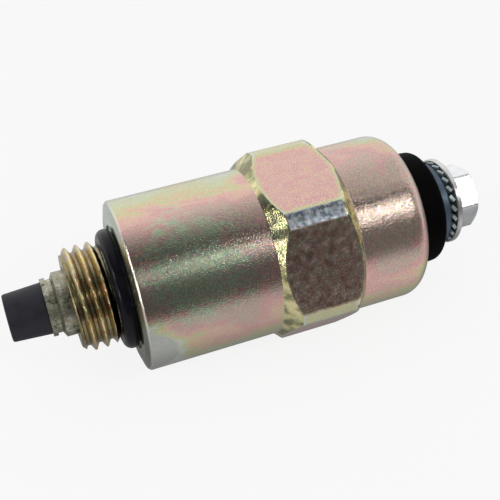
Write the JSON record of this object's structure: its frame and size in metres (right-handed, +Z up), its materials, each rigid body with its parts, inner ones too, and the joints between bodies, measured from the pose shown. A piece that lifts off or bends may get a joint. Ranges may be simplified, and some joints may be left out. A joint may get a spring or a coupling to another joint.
{
  "type": "fuel shutoff solenoid",
  "caption": "Threaded fuel shutoff solenoid for a diesel injection pump: a sprung plunger with a rubber tip shuts the fuel port until the coil pulls it back.",
  "frame": {"origin": "centre of the annular seat face behind the threaded nose", "axes": "+X along the axis from the nose to the terminal, +Z up across two flats of the hexagon, on which the part lies"},
  "size_m": [0.0663, 0.0266, 0.024],
  "materials": {
    "yellow_zinc_steel": "turned steel with yellow iridescent zinc passivation, satin",
    "seal_rubber": "matte black nitrile",
    "plunger_steel": "turned iron with thin greenish zinc plating",
    "tip_rubber": "matte black fuel-proof rubber",
    "spring_steel": "bright drawn wire",
    "brass": "drawn brass",
    "core_iron": "turned soft iron",
    "bobbin_plastic": "moulded natural nylon",
    "copper": "enamelled copper wire",
    "coil_tape": "polyester tape",
    "sleeve_plastic": "flexible insulating sleeve",
    "black_plastic": "moulded black phenolic",
    "blue_steel": "blue-grey plated spring steel",
    "bright_zinc_steel": "bright zinc plated steel"
  },
  "bodies": {
    "solenoid_body": {"housing": "yellow_zinc_steel", "mounting_ring": "seal_rubber", "return_spring": "spring_steel", "air_gap_shim": "brass", "guide_tube": "brass", "tube_seal": "seal_rubber", "pole_core": "core_iron", "pole_seal": "seal_rubber", "bobbin": "bobbin_plastic", "coil_winding": "copper", "coil_tape": "coil_tape", "live_lead": "copper", "lead_sleeve": "sleeve_plastic", "earth_lead": "copper", "rear_plate": "core_iron", "plate_seal": "seal_rubber", "insulator_cap": "black_plastic", "terminal_stud": "bright_zinc_steel", "terminal_tag": "brass", "stud_seal": "seal_rubber", "base_washer": "blue_steel", "toothed_washer": "blue_steel", "outer_washer": "bright_zinc_steel", "terminal_nut": "bright_zinc_steel"},
    "plunger_unit": {"plunger": "plunger_steel", "valve_tip": "tip_rubber"}
  },
  "joints": [
    {"name": "plunger_slide", "type": "slide", "parent": "solenoid_body", "child": "plunger_unit", "axis": [1, 0, 0], "range_m": [0, 0.0018], "stiffness_N_per_m": 3000, "springref_m": -0.003, "deforming": ["return_spring"]}
  ]
}
